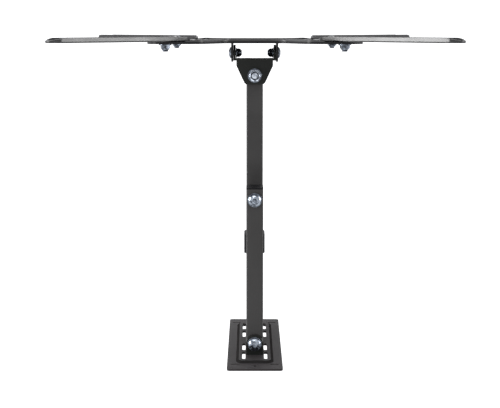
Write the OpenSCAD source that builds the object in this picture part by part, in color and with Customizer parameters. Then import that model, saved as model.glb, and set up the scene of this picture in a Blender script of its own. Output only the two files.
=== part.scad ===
// Swivel TV wall mount: wall plate, double rear arm, front arm, tilting head and a TV plate with four arms.
// +Z is up, the wall is the plane Y = 0 and the mount reaches out along -Y.
// The origin is the centre of the wall plate's back face.

/* [Wall plate] */
// Width of the wall plate
wall_w = 65; // [60:1:90]
// Height of the wall plate
wall_h = 225; // [215:1:260]
// Sheet thickness of the wall plate
wall_t = 2.5; // [2:0.1:3]
// Corner radius of the wall plate
wall_corner_r = 4; // [2:0.5:8]
// Width of the raised channel down the wall plate
channel_w = 38; // [37:1:44]
// Height of the raised channel
channel_h = 174; // [170:1:180]
// How far the channel stands proud of the plate
channel_rise = 2.5; // [1.5:0.1:3]
// Distance between the two columns of lag bolt slots
slot_pitch_x = 26; // [25.5:0.5:27]
// Height of the inner slots above and below the plate's middle
slot_row_in = 29.5; // [26:0.5:32]
// Distance between the two slots of a pair
slot_pitch_z = 37; // [32:1:39]
// Width of a lag bolt slot
slot_w = 4; // [3.5:0.5:5.5]
// Length of a lag bolt slot
slot_l = 28; // [18:1:29]
// Radius of the screw holes near the plate's ends
end_hole_r = 2.5; // [2:0.1:3]
// Distance between the two end screw holes
end_hole_pitch = 202; // [192:1:206]

/* [Brackets] */
// Sheet thickness of the wall bracket and the head bracket
bracket_t = 2.5; // [2:0.1:2.8]
// Distance of the wall pivot from the wall
wall_pivot_out = 18.5; // [18.5:0.5:30]
// Distance from the head pivot to the outer face of the head bracket's web
head_web_out = 20; // [17:0.5:23]
// Width of the head bracket's ears at the web
head_ear_w = 43.6; // [38:0.1:44]
// Width of the head bracket's web where it carries the tilt ears
head_web_w = 50.6; // [49:0.1:54]
// Width of the head bracket's ears past the pivot
head_ear_end_w = 23; // [20:0.5:26]
// How far the head bracket's ears reach behind the pivot
head_ear_back = 10.5; // [9:0.5:14]

/* [Arms] */
// Distance from the wall pivot to the elbow pivot
rear_l = 173; // [150:1:220]
// Distance from the elbow pivot to the head pivot
front_l = 143.5; // [125:0.5:170]
// Width of the arm tubes
tube_w = 20; // [20:0.5:21]
// Height of each arm tube
tube_h = 30; // [26:0.5:36]
// Wall thickness of the arm tubes
tube_t = 2; // [1.5:0.1:2.5]
// Outer corner radius of the tube section
tube_r = 2; // [1:0.5:2]
// Free height between a rear tube and the front tube
tube_gap = 15; // [12:0.5:20]
// How far a rear tube runs past the elbow pivot
elbow_overhang = 12.5; // [12:0.5:16]
// Length of the cable clip
clip_l = 28; // [20:1:40]
// Distance from the wall pivot to the middle of the cable clip
clip_at = 105; // [60:1:140]
// Wall thickness of the cable clip
clip_t = 2.8; // [2:0.1:4]

/* [Pivots] */
// Shank radius of the three pivot bolts
pivot_r = 4; // [3:0.5:4]
// Head radius of the pivot bolts
pivot_head_r = 7.2; // [6.8:0.1:7.6]
// Head height of the pivot bolts
pivot_head_h = 5; // [4:0.1:6]
// Radius of the pivot washers
washer_r = 8.4; // [8:0.1:9]
// Thickness of the pivot washers
washer_t = 1.6; // [1:0.1:2]
// Wall thickness of the nylon bushings
bush_t = 1.5; // [1:0.1:2]
// Flange radius of the nylon bushings
bush_flange_r = 9; // [8:0.1:9.6]
// Flange thickness of the nylon bushings
bush_flange_t = 1.2; // [1:0.1:1.6]
// Wall thickness of the steel spacer sleeves
spacer_t = 3; // [2:0.1:4]

/* [Tilt joint] */
// Distance from the head pivot to the tilt axis
tilt_out = 26.5; // [26.5:0.5:32]
// Radius of the head bracket's tilt ears
tilt_ear_r = 9.5; // [8.5:0.1:9.6]
// Radius of the TV plate's tilt ears
plate_ear_r = 11; // [10:0.5:12]
// Shank radius of the tilt bolts and the arm bolts
small_bolt_r = 3; // [2.5:0.1:3]
// Head radius of the tilt bolts and the arm bolts
small_head_r = 6.6; // [6:0.1:7]
// Head height of the tilt bolts and the arm bolts
small_head_h = 3.3; // [2.5:0.1:3.6]

/* [TV plate] */
// Distance from the tilt axis to the back of the TV plate
plate_out = 12; // [11.5:0.5:15]
// Sheet thickness of the TV plate
plate_t = 2.5; // [2:0.1:3]
// Half height of the TV plate at its middle
plate_waist = 60; // [56:1:66]
// Half width of the TV plate at its bars
plate_half_w = 89; // [84:1:92]
// Inner half width of a window in the TV plate
window_in = 30; // [29:1:34]
// Outer half width of a window in the TV plate
window_out = 62; // [50:1:66]
// Half height of a window in the TV plate
window_half_h = 38; // [30:1:42]
// Half side of the square on which the four arms are bolted
arm_root = 100; // [96:1:104]
// Half side of the square of the outermost arm holes
arm_tip = 200; // [180:1:220]
// Half side of the square of the innermost arm holes
arm_hole_1 = 137; // [134:1:140]
// Half side of the square of the next arm holes
arm_hole_2 = 150; // [148:1:156]
// Half side of the square of the arm holes before the outermost
arm_hole_3 = 171; // [164:1:174]
// Radius of the arm holes
arm_hole_r = 4.2; // [3:0.1:4.5]
// Sheet thickness of the arms
arm_t = 2; // [1.5:0.1:2.5]
// Depth of an arm with its lip
arm_depth = 5.5; // [5:0.1:8]
// Width of an arm at its root
arm_root_w = 38; // [34:1:42]
// Width of an arm at its tip
arm_tip_w = 22; // [20:1:26]
// Length of an arm past its outermost hole
arm_past = 17; // [12:1:22]

/* [Clearances] */
// Radial clearance of a turning pivot
pivot_gap = 0.05; // [0.03:0.01:0.1]
// Clearance between faces that slide past each other
face_gap = 0.3; // [0.25:0.05:0.4]
// Radial clearance of a bolt that does not turn
bolt_gap = 0.2; // [0.1:0.05:0.4]

/* [Hidden] */

// Segments of a round edge
round_fn = 48;
// Steps in a rounded corner of a stamped outline
corner_steps = 5;
// Extra length of a cut so that it goes right through
through = 1;

elbow_y = -wall_pivot_out - rear_l;
head_y = elbow_y - front_l;
tilt_y = head_y - tilt_out;
plate_y = tilt_y - plate_out;
arm_y = plate_y - plate_t;

// Heights of the faces that stack up on the pivots, measured from the middle of the mount
front_top = tube_h / 2;
rear_low = front_top + tube_gap;
rear_top = rear_low + tube_h;
flange_gap = bush_flange_t + face_gap;
wall_ear_in = rear_top + flange_gap;
wall_ear_out = wall_ear_in + bracket_t;
head_ear_in = front_top + flange_gap;
head_ear_out = head_ear_in + bracket_t;

bush_bore_r = pivot_r + pivot_gap;
bush_r = bush_bore_r + bush_t;
tube_bore_r = bush_r + pivot_gap;
bolt_hole_r = pivot_r + bolt_gap;
tube_end_r = tube_w / 2;
slot_margin = 1;
web_half_w = (slot_pitch_x - slot_w) / 2 - slot_margin;
channel_front = wall_t + channel_rise;
tilt_ear_in = head_web_w / 2 - bracket_t;
tilt_ear_out = head_web_w / 2;
plate_ear_in = tilt_ear_out + face_gap;
plate_ear_out = plate_ear_in + plate_t;
small_hole_r = small_bolt_r + bolt_gap;
tilt_pin_hole_r = small_bolt_r + pivot_gap;
small_washer_r = 6;
small_washer_t = 1;
small_thread_end = 1;
small_nut_r = 5.8;
small_nut_h = 5;
small_flange_r = 7.2;
small_flange_h = 1.4;
pivot_nut_r = 7.5;
pivot_nut_h = 8;
thread_end = 2;
cap_plate_t = 1.6;
cap_plug_l = 3;
cap_gap = 0.2;
square_neck = 2 * (small_bolt_r + bolt_gap);
neck_gap = 0.2;
mark_slot_w = 11;
mark_slot_h = 3;
mark_slot_x = 23;
mark_slot_z = 94;
arm_inner = 27;
rib_rise = 1.2;
rib_w = 7;
channel_corner_r = 5;
tube_inner_r = 0.5;
clip_lip = 3;

// Parts of a bolt head and of a nut, as shares of their size
rim_share = 0.4;
socket_share = 0.72;
hex_share = 0.72;
collar_share = 0.8;
collar_top_share = 0.72;

// The head bracket's outline and the shallow relief in its folded edges
head_shoulder_share = 0.57;
head_shoulder_r = 3;
head_end_r = 4.5;
relief_w = 16;
relief_d = 0.7;

// The TV plate's outline: its waist, shoulders, bars and the pads under the arms
waist_half_w = plate_waist * 0.55;
waist_r = 20;
shoulder_z = arm_root + 12;
shoulder_r = 14;
plate_top = arm_root + 18;
plate_side = arm_root + 20;
bar_lean = 4;
bar_run = 14;
bar_bulge = 2;
bar_r = 6;
pad_run = 10;
pad_drop = 4;
pad_lean = 3;
pad_r = 8;
foot_drop = 6;
foot_fall = 14;
foot_r = 5;
window_r = 4;

// The arms' corners
arm_root_r = 10;
arm_side_r = 6;
arm_tip_r = 2.5;
tip_chamfer_share = 0.8;
tip_flat_share = 0.3;

// The unit vector along v
function unit(v) = v / norm(v);

// The points of one rounded corner at b, between the neighbours a and c
function corner(a, b, c, r) =
    let (u = unit(a - b), w = unit(c - b), half = acos(u * w) / 2,
        centre = b + unit(u + w) * r / sin(half),
        from = b + u * r / tan(half) - centre,
        start = atan2(from.y, from.x),
        turn = (cross(u, w) > 0 ? -1 : 1) * (180 - 2 * half))
    [for (i = [0:corner_steps])
        let (angle = start + turn * i / corner_steps)
        centre + r * [cos(angle), sin(angle)]];

// A closed outline whose corners are rounded, each given as [x, y, radius]
function rounded(points) =
    let (n = len(points), at = [for (p = points) [p.x, p.y]])
    [for (i = [0:n - 1]) each (points[i].z > 0
        ? corner(at[(i + n - 1) % n], at[i], at[(i + 1) % n], points[i].z)
        : [at[i]])];

// A list in reverse order
function backwards(list) = [for (i = [len(list) - 1:-1:0]) list[i]];

// A rectangle with round corners, centred
module rounded_rect(w, h, r) {
    square([w - 2 * r, h], center = true);
    square([w, h - 2 * r], center = true);
    for (x = [-1, 1], y = [-1, 1])
        translate([x * (w / 2 - r), y * (h / 2 - r)]) circle(r, $fn = round_fn);
}

// A slot with round ends that runs along Y, centred
module slot_shape(w, l) {
    square([w, l - w], center = true);
    for (y = [-1, 1])
        translate([0, y * (l - w) / 2]) circle(w / 2, $fn = round_fn);
}

// Stands a flat outline up as a sheet of thickness t whose back is out mm from the wall
module standing_sheet(out, t) {
    translate([0, -out, 0]) rotate([90, 0, 0]) linear_extrude(t) children();
}

// A shallow dome of radius r and height h on the plane z = 0
module dome(r, h) {
    ball_r = (r * r + h * h) / (2 * h);
    intersection() {
        translate([0, 0, h - ball_r]) sphere(ball_r, $fn = round_fn);
        cylinder(h, r, r, $fn = round_fn);
    }
}

// A ring around the Z axis that starts at z = 0
module ring(outer_r, inner_r, h) {
    difference() {
        cylinder(h, outer_r, outer_r, $fn = round_fn);
        translate([0, 0, -through]) cylinder(h + 2 * through, inner_r, inner_r, $fn = round_fn);
    }
}

// A socket head bolt: the head sits on z = 0 and the shank hangs down
module socket_bolt(shank_r, shank_l, head_r, head_h) {
    rim_h = head_h * rim_share;
    socket_r = shank_r * socket_share;
    difference() {
        union() {
            cylinder(rim_h, head_r, head_r, $fn = round_fn);
            translate([0, 0, rim_h]) dome(head_r, head_h - rim_h);
        }
        translate([0, 0, rim_h]) cylinder(head_h, socket_r, socket_r, $fn = 6);
    }
    translate([0, 0, -shank_l]) cylinder(shank_l, shank_r, shank_r, $fn = round_fn);
}

// A carriage bolt: domed head on z = 0, square neck and shank below it
module carriage_bolt(neck_l, shank_l) {
    dome(small_head_r, small_head_h);
    translate([0, 0, -neck_l / 2]) cube([square_neck, square_neck, neck_l], center = true);
    translate([0, 0, -shank_l]) cylinder(shank_l, small_bolt_r, small_bolt_r, $fn = round_fn);
}

// A hexagon nut with a nylon collar on top, standing on z = 0
module collar_nut(nut_r, h, bolt_r) {
    hex_h = h * hex_share;
    difference() {
        union() {
            cylinder(hex_h, nut_r, nut_r, $fn = 6);
            translate([0, 0, hex_h])
                cylinder(h - hex_h, nut_r * collar_share, nut_r * collar_top_share, $fn = round_fn);
        }
        translate([0, 0, -through])
            cylinder(h + 2 * through, bolt_r + pivot_gap, bolt_r + pivot_gap, $fn = round_fn);
    }
}

// A hexagon nut with a round flange, standing on z = 0
module flange_nut() {
    ring(small_flange_r, small_bolt_r + pivot_gap, small_flange_h);
    translate([0, 0, small_flange_h]) collar_nut(small_nut_r, small_nut_h, small_bolt_r);
}

// A nylon bushing whose flange lies on z = 0 and whose sleeve hangs down
module flanged_bushing(sleeve_l) {
    difference() {
        union() {
            cylinder(bush_flange_t, bush_flange_r, bush_flange_r, $fn = round_fn);
            translate([0, 0, -sleeve_l]) cylinder(sleeve_l, bush_r, bush_r, $fn = round_fn);
        }
        translate([0, 0, -sleeve_l - through])
            cylinder(sleeve_l + bush_flange_t + 2 * through, bush_bore_r, bush_bore_r, $fn = round_fn);
    }
}

// A pair of bushings, one in each face of a tube whose middle is at z = 0
module bushing_pair() {
    sleeve_l = tube_h / 2 - face_gap;
    for (side = [0, 1])
        mirror([0, 0, side]) translate([0, 0, tube_h / 2]) flanged_bushing(sleeve_l);
}

// The pressed outline of the wall plate's raised channel
module channel_shape(w, h) {
    rounded_rect(w, h, channel_corner_r);
}

// Two columns of four lag bolt slots
module lag_slots() {
    for (x = [-1, 1], z = [-1, 1], row = [0, 1])
        translate([x * slot_pitch_x / 2, z * (slot_row_in + row * slot_pitch_z)])
            slot_shape(slot_w, slot_l);
}

module wall_plate() {
    color("#414143") difference() {
        union() {
            standing_sheet(0, wall_t) rounded_rect(wall_w, wall_h, wall_corner_r);
            standing_sheet(wall_t, channel_rise) channel_shape(channel_w, channel_h);
        }
        standing_sheet(-through, channel_rise + through)
            channel_shape(channel_w - 2 * wall_t, channel_h - 2 * wall_t);
        standing_sheet(-through, channel_front + 2 * through) lag_slots();
        standing_sheet(-through, wall_t + 2 * through) {
            for (z = [-1, 1])
                translate([0, z * end_hole_pitch / 2]) circle(end_hole_r, $fn = round_fn);
            for (x = [-1, 1], z = [-1, 1])
                translate([x * mark_slot_x, z * mark_slot_z]) rotate(90)
                    slot_shape(mark_slot_h, mark_slot_w);
        }
    }
}

// One ear of the wall bracket, seen from above: straight back to the web, round at the pivot
module wall_ear_shape() {
    translate([0, -wall_pivot_out]) circle(tube_end_r, $fn = round_fn);
    translate([-tube_end_r, -wall_pivot_out])
        square([2 * tube_end_r, wall_pivot_out - channel_front]);
}

module wall_bracket() {
    color("#333335") difference() {
        union() {
            standing_sheet(channel_front, bracket_t)
                square([2 * web_half_w, 2 * wall_ear_out], center = true);
            for (side = [0, 1])
                mirror([0, 0, side]) translate([0, 0, wall_ear_in]) linear_extrude(bracket_t) wall_ear_shape();
        }
        translate([0, -wall_pivot_out, -wall_ear_out - through])
            cylinder(2 * (wall_ear_out + through), bolt_hole_r, bolt_hole_r, $fn = round_fn);
    }
}

// Height at which a bolt head or nut sits on an outer face, above its washer
function seat(face) = face + washer_t;

module wall_pivot_bolt() {
    color("#c9ced6") translate([0, -wall_pivot_out, seat(wall_ear_out)])
        socket_bolt(pivot_r, 2 * seat(wall_ear_out) + pivot_nut_h + thread_end, pivot_head_r, pivot_head_h);
}

// A washer above and one below a stack whose outer faces are face mm from the middle
module washer_pair(face) {
    for (side = [0, 1])
        mirror([0, 0, side]) translate([0, 0, face]) ring(washer_r, bolt_hole_r, washer_t);
}

module wall_pivot_washers() {
    color("#bfc4cc") translate([0, -wall_pivot_out, 0]) washer_pair(wall_ear_out);
}

module wall_pivot_nut() {
    color("#bfc4cc") translate([0, -wall_pivot_out, -seat(wall_ear_out)])
        mirror([0, 0, 1]) collar_nut(pivot_nut_r, pivot_nut_h, pivot_r);
}

// The section of an arm tube, standing in the plane across the arm
module tube_section(shrink) {
    rounded_rect(tube_w - 2 * shrink, tube_h - 2 * shrink, max(tube_r - shrink, tube_inner_r));
}

// A length of tube along -Y from start to finish, its middle at z = 0
module tube_run(start, finish, shrink) {
    translate([0, -start, 0]) rotate([90, 0, 0]) linear_extrude(finish - start) tube_section(shrink);
}

// The outline that rounds a tube's end about its pivot, seen from above
module tube_end_trim(start, finish, round_start, round_finish) {
    intersection() {
        tube_run(start - tube_end_r, finish + tube_end_r, 0);
        translate([0, 0, -tube_h]) linear_extrude(2 * tube_h) {
            translate([-tube_w, -finish]) square([2 * tube_w, finish - start]);
            if (round_start)
                translate([0, -start]) circle(tube_end_r, $fn = round_fn);
            if (round_finish)
                translate([0, -finish]) circle(tube_end_r, $fn = round_fn);
        }
    }
}

// A rear arm tube, its middle at z = 0: round at the wall pivot, square at the elbow
module rear_tube() {
    finish = rear_l + elbow_overhang;
    translate([0, -wall_pivot_out, 0]) difference() {
        tube_end_trim(0, finish, true, false);
        tube_run(-tube_w, finish + through, tube_t);
        translate([0, 0, -tube_h])
            cylinder(2 * tube_h, tube_bore_r, tube_bore_r, $fn = round_fn);
        translate([0, -rear_l, -tube_h])
            cylinder(2 * tube_h, bolt_hole_r, bolt_hole_r, $fn = round_fn);
    }
}

// Height of a rear tube's middle
function rear_mid() = rear_low + tube_h / 2;

module rear_tube_upper() {
    color("#464646") translate([0, 0, rear_mid()]) rear_tube();
}

module rear_tube_lower() {
    color("#464646") translate([0, 0, -rear_mid()]) rear_tube();
}

module wall_bushings() {
    color("#17181a") for (z = [-1, 1])
        translate([0, -wall_pivot_out, z * rear_mid()]) bushing_pair();
}

// The steel sleeve that holds the two rear tubes apart at the wall pivot
module wall_spacer() {
    half = rear_low - bush_flange_t;
    color("#3a3a3c") translate([0, -wall_pivot_out, -half])
        ring(bolt_hole_r + spacer_t, bolt_hole_r, 2 * half);
}

// A plastic cap in the open end of each rear tube
module rear_end_caps() {
    inside = tube_t + cap_gap;
    color("#101113") for (z = [-1, 1])
        translate([0, -wall_pivot_out - rear_l, z * rear_mid()]) {
            tube_run(elbow_overhang, elbow_overhang + cap_plate_t, 0);
            tube_run(elbow_overhang - cap_plug_l, elbow_overhang, inside);
        }
}

// A plastic clip snapped over the lower rear tube from above
module cable_clip() {
    inner_w = tube_w + 2 * cap_gap;
    inner_h = tube_h + 2 * cap_gap;
    color("#101113") translate([0, -wall_pivot_out - clip_at, -rear_mid()]) rotate([90, 0, 0])
        translate([0, 0, -clip_l / 2]) linear_extrude(clip_l) difference() {
            rounded_rect(inner_w + 2 * clip_t, inner_h + 2 * clip_t, tube_r + clip_t);
            rounded_rect(inner_w, inner_h, tube_r);
            translate([-inner_w / 2 + clip_lip, -tube_h])
                square([inner_w - 2 * clip_lip, tube_h]);
        }
}

module elbow_bolt() {
    color("#c9ced6") translate([0, elbow_y, seat(rear_top)])
        socket_bolt(pivot_r, 2 * seat(rear_top) + pivot_nut_h + thread_end, pivot_head_r, pivot_head_h);
}

module elbow_washers() {
    color("#bfc4cc") translate([0, elbow_y, 0]) washer_pair(rear_top);
}

module elbow_nut() {
    color("#bfc4cc") translate([0, elbow_y, -seat(rear_top)])
        mirror([0, 0, 1]) collar_nut(pivot_nut_r, pivot_nut_h, pivot_r);
}

// The steel sleeves between the front tube and the two rear tubes
module elbow_spacers() {
    length = tube_gap - flange_gap;
    color("#3a3a3c") for (side = [0, 1])
        mirror([0, 0, side]) translate([0, elbow_y, rear_low - length])
            ring(bolt_hole_r + spacer_t, bolt_hole_r, length);
}

// The front arm tube, round about both of its pivots
module front_tube() {
    color("#464646") translate([0, elbow_y, 0]) difference() {
        tube_end_trim(0, front_l, true, true);
        tube_run(-tube_w, front_l + tube_w, tube_t);
        for (y = [0, -front_l])
            translate([0, y, -tube_h]) cylinder(2 * tube_h, tube_bore_r, tube_bore_r, $fn = round_fn);
    }
}

module elbow_bushings() {
    color("#17181a") translate([0, elbow_y, 0]) bushing_pair();
}

module head_bushings() {
    color("#17181a") translate([0, head_y, 0]) bushing_pair();
}

// One ear of the head bracket, seen from above with the pivot at the origin
module head_ear_shape() {
    shoulder_y = -head_web_out * head_shoulder_share;
    polygon(rounded([
        [-head_ear_w / 2, -head_web_out, 0],
        [head_ear_w / 2, -head_web_out, 0],
        [head_ear_w / 2, shoulder_y, head_shoulder_r],
        [head_ear_end_w / 2, head_ear_back, head_end_r],
        [-head_ear_end_w / 2, head_ear_back, head_end_r],
        [-head_ear_w / 2, shoulder_y, head_shoulder_r]]));
}

// A tilt ear of the head bracket, seen from the side with the tilt axis at the origin
module tilt_ear_shape() {
    circle(tilt_ear_r, $fn = round_fn);
    translate([0, -tilt_ear_r]) square([tilt_out - head_web_out + bracket_t, 2 * tilt_ear_r]);
}

// Stands a side outline (x out of the wall, y up) up as a sheet from x = from to x = to
module side_sheet(from, to) {
    translate([from, 0, 0]) rotate([90, 0, 90]) linear_extrude(to - from) children();
}

module head_bracket() {
    color("#2b2c2a") difference() {
        translate([0, head_y, 0]) union() {
            for (side = [0, 1])
                mirror([0, 0, side]) translate([0, 0, head_ear_in]) linear_extrude(bracket_t) head_ear_shape();
            translate([-head_ear_w / 2, -head_web_out, -head_ear_out])
                cube([head_ear_w, bracket_t, 2 * head_ear_out]);
            translate([-tilt_ear_out, -head_web_out, -tilt_ear_r])
                cube([2 * tilt_ear_out, bracket_t, 2 * tilt_ear_r]);
            for (side = [0, 1])
                mirror([side, 0, 0]) translate([0, -tilt_out, 0])
                    side_sheet(tilt_ear_in, tilt_ear_out) tilt_ear_shape();
        }
        translate([0, head_y, -head_ear_out - through])
            cylinder(2 * (head_ear_out + through), bolt_hole_r, bolt_hole_r, $fn = round_fn);
        translate([-head_web_w, tilt_y, 0]) rotate([0, 90, 0])
            cylinder(2 * head_web_w, tilt_pin_hole_r, tilt_pin_hole_r, $fn = round_fn);
        for (z = [head_ear_in, -head_ear_out])
            translate([-relief_w / 2, head_y - head_web_out - through, z - through])
                cube([relief_w, relief_d + through, bracket_t + 2 * through]);
    }
}

module head_bolt() {
    color("#c9ced6") translate([0, head_y, -seat(head_ear_out)]) mirror([0, 0, 1])
        socket_bolt(pivot_r, 2 * seat(head_ear_out) + pivot_nut_h + thread_end, pivot_head_r, pivot_head_h);
}

module head_washers() {
    color("#bfc4cc") translate([0, head_y, 0]) washer_pair(head_ear_out);
}

module head_nut() {
    color("#bfc4cc") translate([0, head_y, seat(head_ear_out)])
        collar_nut(pivot_nut_r, pivot_nut_h, pivot_r);
}

// One quarter of the TV plate's outline, from the middle of the top edge to the right
plate_quarter = [
    [waist_half_w, plate_waist, waist_r],
    [window_out - bar_lean, shoulder_z, shoulder_r],
    [window_out + bar_run, plate_top, bar_r],
    [arm_root + pad_run, plate_top, pad_r],
    [plate_side, arm_root + pad_drop, pad_r],
    [plate_side - pad_lean, arm_root / 2 - foot_drop, foot_r],
    [plate_half_w + bar_bulge, arm_root / 2 - foot_fall, pad_r]];

// The TV plate's whole outline, in the plane of the plate
module plate_shape() {
    flip_x = [for (p = plate_quarter) [-p.x, p.y, p.z]];
    flip_y = [for (p = plate_quarter) [p.x, -p.y, p.z]];
    flip_both = [for (p = plate_quarter) [-p.x, -p.y, p.z]];
    polygon(rounded(concat(plate_quarter, backwards(flip_y), flip_both, backwards(flip_x))));
}

// The two windows between the plate's bars and its middle
module window_shapes() {
    window_w = window_out - window_in;
    for (x = [-1, 1])
        translate([x * (window_in + window_w / 2), 0])
            rounded_rect(window_w, 2 * window_half_h, window_r);
}

// Places its children at the four corners of a square of half side s, in the plate's plane
module at_corners(s_x, s_y) {
    for (x = [-1, 1], y = [-1, 1])
        translate([x * s_x, y * s_y]) children();
}

// Raised beads that stiffen the plate's bars
module bead_shapes() {
    bar_mid = (window_out + plate_half_w) / 2;
    for (x = [-1, 1])
        translate([x * bar_mid, 0]) slot_shape(rib_w, 2 * window_half_h + rib_w);
}

// A tilt ear of the TV plate, seen from the side with the tilt axis at the origin
module plate_ear_shape() {
    circle(plate_ear_r, $fn = round_fn);
    translate([-plate_out, -plate_ear_r]) square([plate_out, 2 * plate_ear_r]);
}

module tv_plate() {
    color("#1c1d1f") difference() {
        union() {
            standing_sheet(-plate_y, plate_t) difference() {
                plate_shape();
                window_shapes();
                at_corners(arm_root, arm_root) circle(small_hole_r, $fn = round_fn);
                at_corners(arm_root, arm_root / 2) circle(arm_hole_r, $fn = round_fn);
            }
            standing_sheet(-arm_y, rib_rise) bead_shapes();
            for (side = [0, 1])
                mirror([side, 0, 0]) translate([0, tilt_y, 0])
                    side_sheet(plate_ear_in, plate_ear_out) plate_ear_shape();
        }
        translate([-head_web_w, tilt_y, 0]) rotate([0, 90, 0])
            cylinder(2 * head_web_w, small_hole_r, small_hole_r, $fn = round_fn);
    }
}

// Distance along the diagonal from the centre of the plate to a point at half side s
function along(s) = s * sqrt(2);

// The outline of one arm along +X, shrunk by inset
module arm_shape(inset) {
    tip_r = arm_tip_w / 2;
    tip_chamfer = tip_r * tip_chamfer_share;
    tip_flat = tip_r * tip_flat_share;
    root = along(arm_root) - arm_inner;
    tip = along(arm_tip) + arm_past;
    polygon(rounded([
        [root + inset, -arm_root_w / 2 + inset, arm_root_r - inset],
        [tip - tip_chamfer, -tip_r + inset, arm_side_r],
        [tip - inset, -tip_flat, arm_tip_r],
        [tip - inset, tip_flat, arm_tip_r],
        [tip - tip_chamfer, tip_r - inset, arm_side_r],
        [root + inset, arm_root_w / 2 - inset, arm_root_r - inset]]));
}

// One arm: a tapered tray with a lip all round, holes along its middle and a square hole for its bolt
module tv_arm(x_side, z_side) {
    color("#202123") translate([0, arm_y, 0]) mirror([x_side, 0, 0]) mirror([0, 0, z_side])
        rotate([90, 0, 0]) rotate(45) difference() {
            linear_extrude(arm_depth) arm_shape(0);
            translate([0, 0, arm_t]) linear_extrude(arm_depth) arm_shape(arm_t);
            for (s = [arm_hole_1, arm_hole_2, arm_hole_3, arm_tip])
                translate([along(s), 0, -through])
                    cylinder(arm_depth, arm_hole_r, arm_hole_r, $fn = round_fn);
            translate([along(arm_root), 0, 0])
                cube([square_neck + neck_gap, square_neck + neck_gap, 4 * arm_depth], center = true);
        }
}

module tv_arm_upper_left() {
    tv_arm(1, 0);
}

module tv_arm_upper_right() {
    tv_arm(0, 0);
}

module tv_arm_lower_left() {
    tv_arm(1, 1);
}

module tv_arm_lower_right() {
    tv_arm(0, 1);
}

// Where the four arm bolts stand, with Z along the bolt towards the TV
module at_arm_bolts(y) {
    for (x = [-1, 1], z = [-1, 1])
        translate([x * arm_root, y, z * arm_root]) rotate([90, 0, 0]) rotate(45) children();
}

module arm_bolts() {
    stack = arm_t + plate_t + small_nut_h + small_flange_h + thread_end;
    color("#c9ced6") at_arm_bolts(arm_y - arm_t) carriage_bolt(arm_t, stack);
}

module arm_nuts() {
    color("#bfc4cc") at_arm_bolts(plate_y) mirror([0, 0, 1]) flange_nut();
}

// Both ends of the tilt axis, with Z along the axis and away from the middle
module at_tilt_ends(x) {
    for (side = [0, 1])
        mirror([side, 0, 0]) translate([x, tilt_y, 0]) rotate([0, 90, 0]) children();
}

module tilt_bolts() {
    stack = plate_ear_out - tilt_ear_in + small_washer_t + face_gap + small_nut_h + small_thread_end;
    color("#c9ced6") at_tilt_ends(plate_ear_out)
        socket_bolt(small_bolt_r, stack, small_head_r, small_head_h);
}

module tilt_washers() {
    color("#bfc4cc") at_tilt_ends(tilt_ear_in - face_gap - small_washer_t)
        ring(small_washer_r, small_bolt_r + pivot_gap, small_washer_t);
}

module tilt_nuts() {
    color("#bfc4cc") at_tilt_ends(tilt_ear_in - face_gap - small_washer_t)
        mirror([0, 0, 1]) collar_nut(small_nut_r, small_nut_h, small_bolt_r);
}

wall_plate();
wall_bracket();
wall_pivot_bolt();
wall_pivot_washers();
wall_pivot_nut();
rear_tube_upper();
rear_tube_lower();
wall_bushings();
wall_spacer();
rear_end_caps();
cable_clip();
elbow_bolt();
elbow_washers();
elbow_nut();
elbow_spacers();
front_tube();
elbow_bushings();
head_bushings();
head_bracket();
head_bolt();
head_washers();
head_nut();
tv_plate();
tv_arm_upper_left();
tv_arm_upper_right();
tv_arm_lower_left();
tv_arm_lower_right();
arm_bolts();
arm_nuts();
tilt_bolts();
tilt_washers();
tilt_nuts();
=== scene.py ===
import math

import bmesh
import bpy
from mathutils import Matrix, Vector


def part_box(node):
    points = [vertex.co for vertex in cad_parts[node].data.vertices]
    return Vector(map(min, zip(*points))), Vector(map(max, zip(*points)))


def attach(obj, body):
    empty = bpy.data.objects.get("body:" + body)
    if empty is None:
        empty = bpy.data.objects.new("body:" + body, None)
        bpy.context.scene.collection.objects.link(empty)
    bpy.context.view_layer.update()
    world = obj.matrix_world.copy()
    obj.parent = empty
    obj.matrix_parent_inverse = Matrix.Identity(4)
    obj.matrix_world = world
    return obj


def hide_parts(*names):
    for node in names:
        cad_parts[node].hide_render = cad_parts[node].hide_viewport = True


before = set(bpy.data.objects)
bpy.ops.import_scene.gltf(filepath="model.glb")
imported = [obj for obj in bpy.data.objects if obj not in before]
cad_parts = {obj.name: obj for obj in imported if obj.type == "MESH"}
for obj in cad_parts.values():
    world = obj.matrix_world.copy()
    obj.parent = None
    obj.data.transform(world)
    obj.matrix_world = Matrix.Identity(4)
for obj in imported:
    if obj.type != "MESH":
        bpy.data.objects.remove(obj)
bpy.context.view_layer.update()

MM = 0.001
ARMS = ("tv_arm_upper_left", "tv_arm_upper_right", "tv_arm_lower_left", "tv_arm_lower_right")


# Camera

# The photograph looks almost straight down on the mount, with the wall at its lower edge
FRAME_W = 500
FOCAL_PX = 1133
SENSOR_MM = 36.0
CAMERA_TILT = math.radians(8.98)
CAMERA_AT = Vector((0.0056, -0.3944, 1.3735))
CLIP_NEAR = 0.01
CLIP_FAR = 50


def add_camera():
    """The camera at the photograph's place, with +X at the left of the picture."""
    data = bpy.data.cameras.new("camera")
    data.sensor_width = SENSOR_MM
    data.lens = FOCAL_PX / FRAME_W * SENSOR_MM
    data.clip_start = CLIP_NEAR
    data.clip_end = CLIP_FAR
    camera = bpy.data.objects.new("camera", data)
    bpy.context.scene.collection.objects.link(camera)
    right = Vector((-1, 0, 0))
    back = Vector((0, -math.sin(CAMERA_TILT), math.cos(CAMERA_TILT)))
    up = back.cross(right)
    turn = Matrix((right, up, back)).transposed()
    camera.matrix_world = Matrix.Translation(CAMERA_AT) @ turn.to_4x4()
    bpy.context.scene.camera = camera


# Node helpers

# Noise seldom leaves this range
NOISE_RANGE = (0.3, 0.7)
BEVEL_SAMPLES = 6


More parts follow.
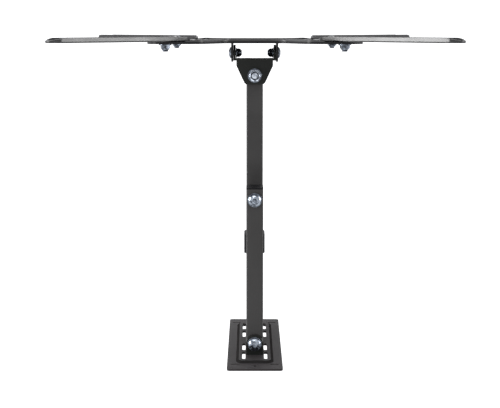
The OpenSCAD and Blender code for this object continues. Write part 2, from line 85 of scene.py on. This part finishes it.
def new_material(name):
    """A new material with its nodes, its links and its shader, ready to wire."""
    material = bpy.data.materials.new(name)
    material.use_nodes = True
    nodes = material.node_tree.nodes
    return material, nodes, material.node_tree.links, nodes["Principled BSDF"]


def object_noise(nodes, links, pattern, stretch=(1, 1, 1)):
    """Noise in the object's own coordinates, from a pattern of (scale, detail, roughness)."""
    coords = nodes.new("ShaderNodeTexCoord")
    mapping = nodes.new("ShaderNodeMapping")
    mapping.inputs["Scale"].default_value = stretch
    noise = nodes.new("ShaderNodeTexNoise")
    for socket, value in zip(("Scale", "Detail", "Roughness"), pattern):
        noise.inputs[socket].default_value = value
    links.new(coords.outputs["Object"], mapping.inputs["Vector"])
    links.new(mapping.outputs["Vector"], noise.inputs["Vector"])
    return noise.outputs["Fac"]


def spread(nodes, links, value, low, high, source=NOISE_RANGE):
    """Maps a value from its source range to the range from low to high."""
    remap = nodes.new("ShaderNodeMapRange")
    remap.inputs["From Min"].default_value = source[0]
    remap.inputs["From Max"].default_value = source[1]
    remap.inputs["To Min"].default_value = low
    remap.inputs["To Max"].default_value = high
    links.new(value, remap.inputs["Value"])
    return remap.outputs["Result"]


def scaled(colour, factor):
    """A colour made lighter or darker by a factor."""
    return tuple(min(1, c * factor) for c in colour)


def blend_colours(nodes, links, value, first, second):
    """A colour between first and second, chosen by value."""
    mix = nodes.new("ShaderNodeMix")
    mix.data_type = "RGBA"
    mix.inputs["A"].default_value = (*first, 1)
    mix.inputs["B"].default_value = (*second, 1)
    links.new(value, mix.inputs["Factor"])
    return mix.outputs["Result"]


def drift_roughness(nodes, links, shader, value, roughness, drift):
    """Lets a shader's roughness drift about its middle value."""
    result = spread(nodes, links, value, roughness + drift[0], roughness + drift[1])
    links.new(result, shader.inputs["Roughness"])


def add_skin(nodes, links, shader, height, strength, distance, edge_radius):
    """Rounds a surface's sharp edges and lays a bump of the given height field over it."""
    bevel = nodes.new("ShaderNodeBevel")
    bevel.samples = BEVEL_SAMPLES
    bevel.inputs["Radius"].default_value = edge_radius
    bump = nodes.new("ShaderNodeBump")
    bump.inputs["Strength"].default_value = strength
    bump.inputs["Distance"].default_value = distance
    links.new(height, bump.inputs["Height"])
    links.new(bevel.outputs["Normal"], bump.inputs["Normal"])
    links.new(bump.outputs["Normal"], shader.inputs["Normal"])


# Materials

# Noise patterns, as cycles per metre, detail and roughness
PEBBLE = (1400, 3, 0.6)
PATCHES = (22, 3, 0.5)
ZINC_DRIFT = (260, 3, 0.5)
ZINC_GRAIN = (2600, 3, 0.6)
NYLON_FLOW = (160, 3, 0.5)
NYLON_GRAIN = (3200, 2, 0.5)

# Powder coat
COAT_LIGHT = 1.22
COAT_DARK = 0.84
COAT_DRIFT = (-0.04, 0.05)
COAT_BUMP = 0.12 * MM
COAT_EDGE = 0.6 * MM
SPECK_GAIN = 1.7
SPECK_LIFT = 0.006
SPECK_SHARE = 0.35
SPECK_RANGE = (0.52, 0.72)

# Zinc plate
ZINC_TONE_RANGE = (0.35, 0.65)
ZINC_ROUGHNESS_DRIFT = (-0.05, 0.07)
ZINC_STRENGTH = 0.12
ZINC_BUMP = 0.1 * MM
ZINC_EDGE = 0.5 * MM

# Nylon
NYLON_STRETCH = (1, 0.3, 1)
NYLON_LIGHT = 1.3
NYLON_DRIFT = (-0.05, 0.06)
NYLON_SPECULAR = 0.06
NYLON_STRENGTH = 0.15
NYLON_BUMP = 0.1 * MM
NYLON_EDGE = 0.5 * MM

# Powder coats, as colour, roughness, strength of the pebbles and specular level
COATS = {
    "tube_coat": ((0.028, 0.027, 0.027), 0.44, 0.35, 0.26),
    "plate_coat": ((0.033, 0.030, 0.031), 0.55, 0.25, 0.08),
    # The flank coat is the plate's paint made darker: painted shade on the channel's sloping sides.
    "flank_coat": ((0.018, 0.017, 0.017), 0.62, 0.25, 0.0),
    "bracket_coat": ((0.012, 0.013, 0.012), 0.42, 0.35, 0.14),
    "tv_coat": ((0.010, 0.010, 0.011), 0.34, 0.18, 0.14),
    # The hem coat is the TV plate's paint made lighter: a painted highlight along the turned lip.
    "hem_coat": ((0.034, 0.034, 0.035), 0.38, 0.12, 0.35),
    "arm_coat": ((0.008, 0.008, 0.009), 0.30, 0.02, 0.56),
    "sleeve_black": ((0.014, 0.014, 0.015), 0.40, 0.12, 0.2),
}

# Zinc plates, as colour, tint and roughness
ZINCS = {
    "bright_zinc": ((0.17, 0.18, 0.22), (0.28, 0.33, 0.39), 0.19),
    # The head, wall pivot and elbow bolt zincs spread widely from a dark colour to a light tint:
    # painted glints.
    "polished_zinc": ((0.20, 0.22, 0.26), (0.66, 0.72, 0.80), 0.15),
    "pivot_head_zinc": ((0.06, 0.07, 0.09), (0.42, 0.47, 0.54), 0.17),
    "fastener_zinc": ((0.03, 0.033, 0.04), (0.15, 0.17, 0.20), 0.25),
    "washer_zinc": ((0.075, 0.075, 0.095), (0.15, 0.18, 0.21), 0.26),
    # The thread zinc is darker than the other zincs: painted shade between the thread's turns.
    "thread_zinc": ((0.035, 0.040, 0.048), (0.07, 0.08, 0.10), 0.26),
}

# Nylons, as colour and roughness
NYLONS = {"black_nylon": ((0.006, 0.006, 0.007), 0.50)}

# The CAD nodes that each material goes on
FINISHES = {
    "plate_coat": ("wall_plate",),
    "bracket_coat": ("wall_bracket", "head_bracket"),
    "tube_coat": ("rear_tube_upper", "rear_tube_lower", "front_tube"),
    "sleeve_black": ("wall_spacer", "elbow_spacers"),
    "tv_coat": ("tv_plate",),
    "arm_coat": ARMS,
    "black_nylon": ("wall_bushings", "elbow_bushings", "head_bushings",
                    "rear_end_caps", "cable_clip"),
    "washer_zinc": ("wall_pivot_washers", "elbow_washers", "head_washers", "tilt_washers"),
    # The next two finishes paint glints on the head bolt, its nut and the pivot bolts.
    "polished_zinc": ("head_nut", "head_bolt"),
    "pivot_head_zinc": ("wall_pivot_bolt", "elbow_bolt"),
    "bright_zinc": ("wall_pivot_nut", "elbow_nut"),
    "fastener_zinc": ("arm_nuts", "arm_bolts", "tilt_bolts", "tilt_nuts"),
}


def powder_coat(name, colour, roughness, grain, specular):
    """Baked powder coat: a fine pebbled skin whose tone drifts a little over the surface."""
    material, nodes, links, shader = new_material(name)
    pebble = object_noise(nodes, links, PEBBLE)
    patches = object_noise(nodes, links, PATCHES)
    tone = blend_colours(nodes, links, spread(nodes, links, patches, 0, 1),
                         scaled(colour, COAT_DARK), scaled(colour, COAT_LIGHT))
    speck = nodes.new("ShaderNodeMix")
    speck.data_type = "RGBA"
    speck.inputs["B"].default_value = (*(min(1, c * SPECK_GAIN + SPECK_LIFT) for c in colour), 1)
    specks = spread(nodes, links, pebble, 0, SPECK_SHARE, SPECK_RANGE)
    links.new(specks, speck.inputs["Factor"])
    links.new(tone, speck.inputs["A"])
    links.new(speck.outputs["Result"], shader.inputs["Base Color"])
    shader.inputs["Specular IOR Level"].default_value = specular
    drift_roughness(nodes, links, shader, patches, roughness, COAT_DRIFT)
    add_skin(nodes, links, shader, pebble, grain, COAT_BUMP, COAT_EDGE)
    return material


def zinc(name, colour, tint, roughness):
    """Bright zinc plate: metal whose tone drifts between colour and tint over the surface, as a
    faint bluish passivation where the two are close and as painted glints where they are far apart.
    """
    material, nodes, links, shader = new_material(name)
    drift = object_noise(nodes, links, ZINC_DRIFT)
    grain = object_noise(nodes, links, ZINC_GRAIN)
    share = spread(nodes, links, drift, 0, 1, ZINC_TONE_RANGE)
    tone = blend_colours(nodes, links, share, colour, tint)
    links.new(tone, shader.inputs["Base Color"])
    shader.inputs["Metallic"].default_value = 1.0
    drift_roughness(nodes, links, shader, drift, roughness, ZINC_ROUGHNESS_DRIFT)
    add_skin(nodes, links, shader, grain, ZINC_STRENGTH, ZINC_BUMP, ZINC_EDGE)
    return material


def nylon(name, colour, roughness):
    """Moulded nylon: a soft satin skin with a barely visible flow pattern."""
    material, nodes, links, shader = new_material(name)
    flow = object_noise(nodes, links, NYLON_FLOW, NYLON_STRETCH)
    grain = object_noise(nodes, links, NYLON_GRAIN)
    share = spread(nodes, links, flow, 0, 1)
    tone = blend_colours(nodes, links, share, colour, scaled(colour, NYLON_LIGHT))
    links.new(tone, shader.inputs["Base Color"])
    shader.inputs["Specular IOR Level"].default_value = NYLON_SPECULAR
    drift_roughness(nodes, links, shader, flow, roughness, NYLON_DRIFT)
    add_skin(nodes, links, shader, grain, NYLON_STRENGTH, NYLON_BUMP, NYLON_EDGE)
    return material


def make_materials():
    """All materials by name."""
    return {
        name: make(name, *values)
        for make, table in ((powder_coat, COATS), (zinc, ZINCS), (nylon, NYLONS))
        for name, values in table.items()
    }


def paint_nodes(materials):
    """Gives each CAD node its finish."""
    for name, nodes in FINISHES.items():
        for node in nodes:
            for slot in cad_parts[node].material_slots:
                slot.material = materials[name]


# Smooth shading

SHARP_ANGLE = math.radians(32)
WELD_DISTANCE = 1e-6


def shade_by_angle(mesh):
    """Smooth shading that keeps sharp edges sharp."""
    mesh.polygons.foreach_set("use_smooth", [True] * len(mesh.polygons))
    mesh.set_sharp_from_angle(angle=SHARP_ANGLE)


def shading_group():
    """A node group that welds a mesh and shades it smooth between its sharp edges."""
    group = bpy.data.node_groups.new("shade_by_angle", "GeometryNodeTree")
    for way in ("INPUT", "OUTPUT"):
        group.interface.new_socket("Geometry", in_out=way, socket_type="NodeSocketGeometry")
    nodes, links = group.nodes, group.links
    start, end = nodes.new("NodeGroupInput"), nodes.new("NodeGroupOutput")
    weld = nodes.new("GeometryNodeMergeByDistance")
    weld.inputs["Distance"].default_value = WELD_DISTANCE
    smooth = nodes.new("GeometryNodeSetShadeSmooth")
    smooth.domain = "FACE"
    edges = nodes.new("GeometryNodeSetShadeSmooth")
    edges.domain = "EDGE"
    edges.inputs["Shade Smooth"].default_value = False
    angle = nodes.new("GeometryNodeInputMeshEdgeAngle")
    sharp = nodes.new("FunctionNodeCompare")
    sharp.data_type = "FLOAT"
    sharp.operation = "GREATER_THAN"
    sharp.inputs["B"].default_value = SHARP_ANGLE
    links.new(angle.outputs["Unsigned Angle"], sharp.inputs["A"])
    links.new(sharp.outputs["Result"], edges.inputs["Selection"])
    links.new(start.outputs[0], weld.inputs["Geometry"])
    links.new(weld.outputs["Geometry"], smooth.inputs["Geometry"])
    links.new(smooth.outputs["Geometry"], edges.inputs["Geometry"])
    links.new(edges.outputs["Geometry"], end.inputs[0])
    return group


def smooth_nodes():
    """Gives each CAD node smooth shading through a modifier."""
    group = shading_group()
    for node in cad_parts.values():
        modifier = node.modifiers.new("shade_by_angle", "NODES")
        modifier.node_group = group


# Making pieces

def add_piece(name, mesh, material, body):
    """A smooth-shaded object with its material, that rides on a CAD body."""
    shade_by_angle(mesh)
    mesh.materials.append(material)
    piece = bpy.data.objects.new(name, mesh)
    bpy.context.scene.collection.objects.link(piece)
    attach(piece, body)
    return piece


def ring_piece(name, rings, capped, material, body):
    """A closed skin through rings of points. Its ends are capped, or else they meet."""
    count, total = len(rings[0]), len(rings)
    faces = [
        (i * count + j, i * count + (j + 1) % count,
         (i + 1) % total * count + (j + 1) % count, (i + 1) % total * count + j)
        for i in range(total - 1 if capped else total) for j in range(count)
    ]
    if capped:
        faces.append(tuple(range(count))[::-1])
        faces.append(tuple((total - 1) * count + j for j in range(count)))
    mesh = bpy.data.meshes.new(name)
    mesh.from_pydata([point for ring in rings for point in ring], [], faces)
    shell = bmesh.new()
    shell.from_mesh(mesh)
    bmesh.ops.recalc_face_normals(shell, faces=shell.faces)
    shell.to_mesh(mesh)
    shell.free()
    add_piece(name, mesh, material, body)


def end_of(node, axis):
    """The point where a node's box ends along an axis, at the middle of the other two sides."""
    low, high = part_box(node)
    middle = (Vector(low) + Vector(high)) / 2
    half = (Vector(high) - Vector(low)) / 2
    return middle + Vector(a * h for a, h in zip(axis, half))


def axis_frame(at, axis):
    """A transform that puts z = 0 at a point and turns +Z along an axis."""
    return Matrix.Translation(at) @ Vector(axis).to_track_quat("Z", "Y").to_matrix().to_4x4()


def round_point(place, radius, turn, z):
    """The point at a radius, a share of a full turn and a height in a transformed place."""
    angle = 2 * math.pi * turn
    return place @ Vector((radius * math.cos(angle), radius * math.sin(angle), z))


# Fastener details

DOWN = (0, 0, -1)
UP = (0, 0, 1)
TO_WALL = (0, 1, 0)

ROUND_STEPS = 40
ROWS_PER_PITCH = 6
THREAD_DEPTH = 0.28
THREAD_LIFT = 0.03 * MM
CHAMFER_SHARE = 0.84
CHAMFER_RISE = 0.08 * MM

PIVOT_R = 4.0 * MM
PIVOT_PITCH = 1.25 * MM
PIVOT_THREAD = 1.9 * MM
SMALL_R = 3.0 * MM
SMALL_PITCH = 1.0 * MM
ARM_THREAD = 1.9 * MM
ARM_HEAD_R = 6.6 * MM
TILT_THREAD = 0.9 * MM
TILT_BOLT_END = 15.5 * MM

# The nylon ring of a lock nut, as (radius, height) round the nut's face
RING_IN = 4.42 * MM
RING_OUT = 5.0 * MM
RING_RISE = 0.28 * MM
RING_SHOULDER = RING_RISE * 0.4
RING_PROFILE = (
    (RING_IN, -RING_RISE), (RING_OUT, -RING_RISE), (RING_OUT, RING_SHOULDER),
    (RING_OUT - RING_RISE, RING_RISE), (RING_IN + RING_RISE, RING_RISE), (RING_IN, RING_SHOULDER),
)


def thread(name, at, axis, radius, length, pitch, material, body):
    """The raised helix on a bolt's shank, from a point along an axis, with a chamfered end."""
    place = axis_frame(at, axis)
    depth = pitch * THREAD_DEPTH
    core = radius * CHAMFER_SHARE
    rows = int(length / pitch * ROWS_PER_PITCH) + 1
    turns = [step / ROUND_STEPS for step in range(ROUND_STEPS)]
    rings = []
    for row in range(rows + 1):
        z = length * row / rows
        ring = []
        for turn in turns:
            valley = abs(2 * ((z / pitch - turn) % 1) - 1)
            r = radius + THREAD_LIFT + depth * (1 - valley)
            ring.append(round_point(place, r, turn, z))
        rings.append(ring)
    for z in (length + CHAMFER_RISE, length + CHAMFER_RISE - THREAD_LIFT, 0):
        rings.append([round_point(place, core, turn, z) for turn in turns])
    ring_piece(name, rings, False, material, body)


def dress_pivot(bolt, nut, axis, body, materials):
    """Thread on a pivot bolt's end and the nylon ring inside its nut."""
    tip = end_of(bolt, axis)
    start = tip - Vector(axis) * PIVOT_THREAD
    # The thread's dark zinc is painted shade between its turns.
    thread(bolt + "_thread", start, axis, PIVOT_R, PIVOT_THREAD, PIVOT_PITCH,
           materials["thread_zinc"], body)
    face = end_of(nut, axis)
    face.x, face.y = tip.x, tip.y
    place = axis_frame(face, axis)
    rings = [[round_point(place, r, step / ROUND_STEPS, z) for r, z in RING_PROFILE]
             for step in range(ROUND_STEPS)]
    ring_piece(nut + "_ring", rings, False, materials["black_nylon"], body)


def dress_pivots(materials):
    """The wall, elbow and head pivots. The head's nut is on top."""
    dress_pivot("wall_pivot_bolt", "wall_pivot_nut", DOWN, "wall", materials)
    dress_pivot("elbow_bolt", "elbow_nut", DOWN, "rear_arm", materials)
    dress_pivot("head_bolt", "head_nut", UP, "head", materials)


def dress_small_bolts(materials):
    """Threads on the ends of the arm bolts and the tilt bolts."""
    low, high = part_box("arm_bolts")
    for x in (low[0] + ARM_HEAD_R, high[0] - ARM_HEAD_R):
        for z in (low[2] + ARM_HEAD_R, high[2] - ARM_HEAD_R):
            side = ("left" if x > 0 else "right") + ("_upper" if z > 0 else "_lower")
            at = Vector((x, high[1] - ARM_THREAD, z))
            # The thread's dark zinc is painted shade between its turns.
            thread("arm_bolt_thread_" + side, at, TO_WALL, SMALL_R, ARM_THREAD, SMALL_PITCH,
                   materials["thread_zinc"], "tv_frame")
    low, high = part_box("tilt_nuts")
    y, z = ((low[i] + high[i]) / 2 for i in (1, 2))
    for sign, side in ((-1, "right"), (1, "left")):
        at = Vector((sign * (TILT_BOLT_END + TILT_THREAD), y, z))
        thread("tilt_bolt_thread_" + side, at, (-sign, 0, 0), SMALL_R, TILT_THREAD, SMALL_PITCH,
               materials["thread_zinc"], "tv_frame")


# The wall plate's pressed channel

SHEET_FACE = -2.5 * MM
CHANNEL_FACE = -5.0 * MM
CHANNEL_HALF_W = 19 * MM
CHANNEL_HALF_H = 87 * MM
CHANNEL_CORNER = 5 * MM
CORNER_STEPS = 8
SKIRT_WIDTH = 3.2 * MM
SKIRT_STEPS = 8
SKIRT_SUNK = 0.04 * MM
SKIRT_INSET = 0.3 * MM


def channel_ring(y, out, radius):
    """A ring round the channel, grown outwards, with round corners."""
    half_w, half_h = CHANNEL_HALF_W + out, CHANNEL_HALF_H + out
    points = []
    for corner, (sx, sz) in enumerate(((1, 1), (-1, 1), (-1, -1), (1, -1))):
        for step in range(CORNER_STEPS + 1):
            angle = math.pi / 2 * (corner + step / CORNER_STEPS)
            points.append(Vector((sx * (half_w - radius) + radius * math.cos(angle), y,
                                  sz * (half_h - radius) + radius * math.sin(angle))))
    return points


def add_channel_skirt(materials):
    """The sloping pressed side all round the wall plate's raised channel, in a darker coat that
    paints shade on it.
    """
    rings = []
    for step in range(SKIRT_STEPS + 1):
        share = step / SKIRT_STEPS
        ease = (1 - math.cos(math.pi * share)) / 2
        out = SKIRT_WIDTH * (1 - share)
        y = SHEET_FACE + (CHANNEL_FACE - SHEET_FACE) * ease + (SKIRT_SUNK if step == 0 else 0)
        rings.append(channel_ring(y, out, CHANNEL_CORNER + out))
    for face in (CHANNEL_FACE, SHEET_FACE):
        rings.append(channel_ring(face + SKIRT_INSET, -SKIRT_INSET, CHANNEL_CORNER))
    ring_piece("channel_skirt", rings, False, materials["flank_coat"], "wall")


# Welds between the wall bracket and the channel

BRACKET_WEB_HALF = 10.0 * MM
WELD_RUNS = ((-12, 12), (45, 51.5), (-51.5, -45))
WELD_R = 1.5 * MM
WELD_RIPPLE = 1.6 * MM
WELD_SWELL = 0.14
WELD_AROUND = 14
ROWS_PER_RIPPLE = 6
WELD_END = 0.02
WELD_TAPER = 3


def add_weld(name, x, low, high, materials):
    """A rippled weld bead along Z in the corner between the wall bracket and the channel."""
    place = Matrix.Translation((x, CHANNEL_FACE, 0))
    rows = int((high - low) / WELD_RIPPLE * ROWS_PER_RIPPLE)
    angles = [2 * math.pi * step / WELD_AROUND for step in range(WELD_AROUND)]
    rings = []
    for row in range(rows + 1):
        share = row / rows
        z = low + (high - low) * share
        swell = 1 - WELD_SWELL * abs(math.sin(math.pi * (z - low) / WELD_RIPPLE))
        reach = min(max(share, WELD_END), 1 - WELD_END)
        r = WELD_R * swell * min(1, math.sin(math.pi * reach) * WELD_TAPER)
        rings.append([place @ Vector((r * math.cos(a), r * math.sin(a), z)) for a in angles])
    ring_piece(name, rings, True, materials["bracket_coat"], "wall")


def add_welds(materials):
    """Three beads along each side of the wall bracket."""
    for sign, side in ((1, "left"), (-1, "right")):
        for index, (start, end) in enumerate(WELD_RUNS):
            add_weld("weld_%s_%d" % (side, index), sign * BRACKET_WEB_HALF,
                     start * MM, end * MM, materials)


# The TV plate's turned lips

PLATE_FRONT = -375.9 * MM
FILLET_STEPS = 8
HEM_RISE = 2.4 * MM
HEM_HALF = 1.0 * MM
HEM_INSET = 1.1 * MM
HEM_END_SHARE = 0.35

# The lip's path over the plate, as x, z and the radius of the corner, in millimetres
HEM_PATH = ((-76, 118, 0), (-58, 112, 14), (-33, 60, 20), (33, 60, 20), (58, 112, 14), (76, 118, 0))

# The lip's section, as shares of its half width and its rise
HEM_SECTION = ((-1, 0), (-1, 0.55), (-0.92, 0.78), (-0.7, 0.93), (-0.35, 1), (0.35, 1),
               (0.7, 0.93), (0.92, 0.78), (1, 0.55), (1, 0))


def filleted(points):
    """A path whose corners are rounded, each given as (x, z, radius)."""
    path = []
    for index, (x, z, radius) in enumerate(points):
        at = Vector((x, z))
        if radius == 0:
            path.append(at)
            continue
        before = (Vector(points[index - 1][:2]) - at).normalized()
        after = (Vector(points[index + 1][:2]) - at).normalized()
        half = before.angle(after) / 2
        centre = at + (before + after).normalized() * radius / math.sin(half)
        start = at + before * radius / math.tan(half) - centre
        end = at + after * radius / math.tan(half) - centre
        turn = start.angle_signed(end)
        for step in range(FILLET_STEPS + 1):
            angle = -turn * step / FILLET_STEPS
            cos, sin = math.cos(angle), math.sin(angle)
            arm = Vector((start.x * cos - start.y * sin, start.x * sin + start.y * cos))
            path.append(centre + arm)
    return path


def add_hem(name, sign, materials):
    """The turned lip along the TV plate's waist and shoulders, standing towards the television, in
    a lighter coat that paints a highlight on it.
    """
    path = [point * MM for point in filleted(HEM_PATH)]
    last = len(path) - 1
    rings = []
    for index, point in enumerate(path):
        tangent = (path[min(index + 1, last)] - path[max(index - 1, 0)]).normalized()
        inward = Vector((tangent.y, -tangent.x))
        rise = HEM_RISE * (HEM_END_SHARE if index in (0, last) else 1)
        ring = []
        for across, up in HEM_SECTION:
            flat = point + inward * (HEM_INSET + across * HEM_HALF)
            ring.append(Vector((flat.x, PLATE_FRONT - up * rise, sign * flat.y)))
        rings.append(ring)
    ring_piece(name, rings, True, materials["hem_coat"], "tv_frame")


# Pieces that take the place of a plainer CAD node

FLAT_ANGLE = math.radians(1)
ROUND_SEGMENTS = 3
ROUND_PROFILE = 0.5
CUT_DISTANCE = 1e-7


def copied_mesh(node):
    """A welded copy of a CAD node's mesh, with its flat faces whole."""
    mesh = bmesh.new()
    mesh.from_mesh(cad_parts[node].data)
    bmesh.ops.remove_doubles(mesh, verts=mesh.verts, dist=WELD_DISTANCE)
    bmesh.ops.dissolve_limit(mesh, angle_limit=FLAT_ANGLE, verts=mesh.verts, edges=mesh.edges)
    return mesh


def round_mesh_edges(mesh, edges, radius):
    """Rounds the given edges of a mesh."""
    bmesh.ops.bevel(mesh, geom=edges, offset=radius, segments=ROUND_SEGMENTS,
                    profile=ROUND_PROFILE, affect="EDGES")


def replace_node(node, mesh, material, body):
    """Puts an edited mesh in the place of a CAD node."""
    bmesh.ops.triangulate(mesh, faces=[f for f in mesh.faces if len(f.verts) > 4])
    bmesh.ops.recalc_face_normals(mesh, faces=mesh.faces)
    data = bpy.data.meshes.new(node + "_dressed")
    mesh.to_mesh(data)
    mesh.free()
    piece = add_piece(node + "_dressed", data, material, body)
    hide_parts(node)


# The TV arms, with distances measured outwards along each arm from the plate's centre
ARM_BASE_TOP = -378.0 * MM
ARM_ROOT = 114.42 * MM
ARM_TIP = 299.84 * MM
TIP_RUN = 15 * MM
ROOT_RUN = 10 * MM
TIP_CUTS = (0.12, 0.3, 0.55, 0.8, 1)
ROOT_CUTS = (0.2, 0.5, 0.8, 1)
LIP_LEFT = 0.04
LIP_EASE = 0.85
BEND_R = 1.3 * MM
BACK_FACING = 0.9
SIDE_FACING = 0.2


def lip_share(along):
    """How much of an arm's lip stands at a place along it: the lip runs out at both ends."""
    tip = min(1, max(0, (ARM_TIP - along) / TIP_RUN))
    root = min(1, max(0, (along - ARM_ROOT) / ROOT_RUN))
    return LIP_LEFT + (1 - LIP_LEFT) * min(tip ** LIP_EASE, root ** LIP_EASE)


def back_rim(mesh):
    """The outer edges of an arm's back, where its lips start."""
    rim = []
    for edge in mesh.edges:
        if len(edge.link_faces) != 2:
            continue
        back = [f for f in edge.link_faces if f.normal.y > BACK_FACING]
        flank = [f for f in edge.link_faces if abs(f.normal.y) < SIDE_FACING]
        if back and flank and min(v.co.y for v in flank[0].verts) < ARM_BASE_TOP - MM:
            rim.append(edge)
    return rim


def dress_arm(node, materials):
    """An arm with a bend round its back, whose lips slope down to nothing at its tip and root."""
    low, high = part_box(node)
    x, z = (1 if low[i] + high[i] > 0 else -1 for i in (0, 2))
    side = Vector((x, 0, z)) / math.sqrt(2)
    mesh = copied_mesh(node)
    round_mesh_edges(mesh, back_rim(mesh), BEND_R)
    cuts = [ARM_TIP - TIP_RUN * share for share in TIP_CUTS]
    cuts += [ARM_ROOT + ROOT_RUN * share for share in ROOT_CUTS]
    for cut in cuts:
        geometry = mesh.verts[:] + mesh.edges[:] + mesh.faces[:]
        bmesh.ops.bisect_plane(mesh, geom=geometry, plane_co=side * cut, plane_no=side,
                               dist=CUT_DISTANCE)
    for vertex in mesh.verts:
        depth = vertex.co.y - ARM_BASE_TOP
        if depth < 0:
            vertex.co.y = ARM_BASE_TOP + depth * lip_share(vertex.co.dot(side))
    replace_node(node, mesh, materials["arm_coat"], "tv_frame")


CLIP_SHARE = 0.86
CLIP_SHIFT = 1.5 * MM
CLIP_ROUND = 0.9 * MM
CLIP_CORNER = math.radians(60)


def dress_clip(materials):
    """The cable clip, shorter, further along its tube and with moulded round edges."""
    low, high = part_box("cable_clip")
    middle = (low[1] + high[1]) / 2
    mesh = copied_mesh("cable_clip")
    for vertex in mesh.verts:
        vertex.co.y = middle + CLIP_SHIFT + (vertex.co.y - middle) * CLIP_SHARE
    corners = [e for e in mesh.edges
               if len(e.link_faces) == 2 and e.calc_face_angle(0) > CLIP_CORNER]
    round_mesh_edges(mesh, corners, CLIP_ROUND)
    replace_node("cable_clip", mesh, materials["black_nylon"], "rear_arm")


# Studio

WHITE = (1, 1, 1, 1)
WORLD_TINT = (0.95, 0.97, 1.0, 1)
WORLD_STRENGTH = 0.28

FLOOR_Z = -0.75
FLOOR_HALF = 9.0
FLOOR_COLOUR = (0.86, 0.86, 0.87, 1)
FLOOR_ROUGHNESS = 0.9
FLOOR_SPECULAR = 0.1
FLOOR_GLOW = 0.45

# Lamps, as place, the point they face, width and height, and watts
ARMS_AT = (0, -0.37, 0.05)
MIDDLE_AT = (0, -0.2, 0)
LAMPS = {
    "key": ((1.7, -0.5, 0.5), ARMS_AT, (1.1, 0.6), 40),
    "rim": ((-1.7, -0.58, 0.45), ARMS_AT, (0.9, 0.6), 22),
    "front": ((0.25, -1.7, 1.3), MIDDLE_AT, (1.2, 0.5), 9),
    "top": ((0.5, 0.9, 2.0), MIDDLE_AT, (1.2, 0.8), 11),
}


def seen_rays(nodes, links):
    """1 for what the camera, metal and glass see, and 0 for all other light."""
    path = nodes.new("ShaderNodeLightPath")
    seen = path.outputs["Is Camera Ray"]
    for ray in ("Is Glossy Ray", "Is Transmission Ray"):
        either = nodes.new("ShaderNodeMath")
        either.operation = "MAXIMUM"
        links.new(seen, either.inputs[0])
        links.new(path.outputs[ray], either.inputs[1])
        seen = either.outputs[0]
    return seen


def add_world():
    """Soft light all round, in front of a white background."""
    world = bpy.data.worlds.new("studio")
    world.use_nodes = True
    nodes, links = world.node_tree.nodes, world.node_tree.links
    soft = nodes["Background"]
    soft.inputs["Color"].default_value = WORLD_TINT
    soft.inputs["Strength"].default_value = WORLD_STRENGTH
    white = nodes.new("ShaderNodeBackground")
    white.inputs["Color"].default_value = WHITE
    white.inputs["Strength"].default_value = 1.0
    mix = nodes.new("ShaderNodeMixShader")
    links.new(seen_rays(nodes, links), mix.inputs[0])
    links.new(soft.outputs[0], mix.inputs[1])
    links.new(white.outputs[0], mix.inputs[2])
    links.new(mix.outputs[0], nodes["World Output"].inputs["Surface"])
    bpy.context.scene.world = world


def add_floor():
    """A pale floor that looks white and still takes the object's shadow."""
    mesh = bpy.data.meshes.new("floor")
    corners = [(x * FLOOR_HALF, y * FLOOR_HALF, FLOOR_Z)
               for x, y in ((-1, -1), (1, -1), (1, 1), (-1, 1))]
    mesh.from_pydata(corners, [], [(0, 1, 2, 3)])
    floor = bpy.data.objects.new("floor", mesh)
    bpy.context.scene.collection.objects.link(floor)
    material, nodes, links, shader = new_material("pale_floor")
    shader.inputs["Base Color"].default_value = FLOOR_COLOUR
    shader.inputs["Roughness"].default_value = FLOOR_ROUGHNESS
    shader.inputs["Specular IOR Level"].default_value = FLOOR_SPECULAR
    gate = nodes.new("ShaderNodeMath")
    gate.operation = "MULTIPLY"
    gate.inputs[1].default_value = FLOOR_GLOW
    glow = nodes.new("ShaderNodeEmission")
    glow.inputs["Color"].default_value = WHITE
    add = nodes.new("ShaderNodeAddShader")
    links.new(seen_rays(nodes, links), gate.inputs[0])
    links.new(gate.outputs[0], glow.inputs["Strength"])
    links.new(shader.outputs[0], add.inputs[0])
    links.new(glow.outputs[0], add.inputs[1])
    links.new(add.outputs[0], nodes["Material Output"].inputs["Surface"])
    mesh.materials.append(material)


def add_lamp(name, at, look, size, watts):
    """A rectangular area lamp that faces a point."""
    data = bpy.data.lights.new(name, "AREA")
    data.shape = "RECTANGLE"
    data.size, data.size_y = size
    data.energy = watts
    light = bpy.data.objects.new(name, data)
    light.location = at
    light.rotation_euler = (Vector(look) - Vector(at)).to_track_quat("-Z", "Y").to_euler()
    bpy.context.scene.collection.objects.link(light)


add_camera()
materials = make_materials()
paint_nodes(materials)
smooth_nodes()
dress_pivots(materials)
dress_small_bolts(materials)
add_channel_skirt(materials)
add_welds(materials)
add_hem("plate_hem_upper", 1, materials)
add_hem("plate_hem_lower", -1, materials)
for arm in ARMS:
    dress_arm(arm, materials)
dress_clip(materials)
add_world()
add_floor()
for lamp, values in LAMPS.items():
    add_lamp(lamp, *values)

bpy.context.scene.view_settings.view_transform = "Standard"
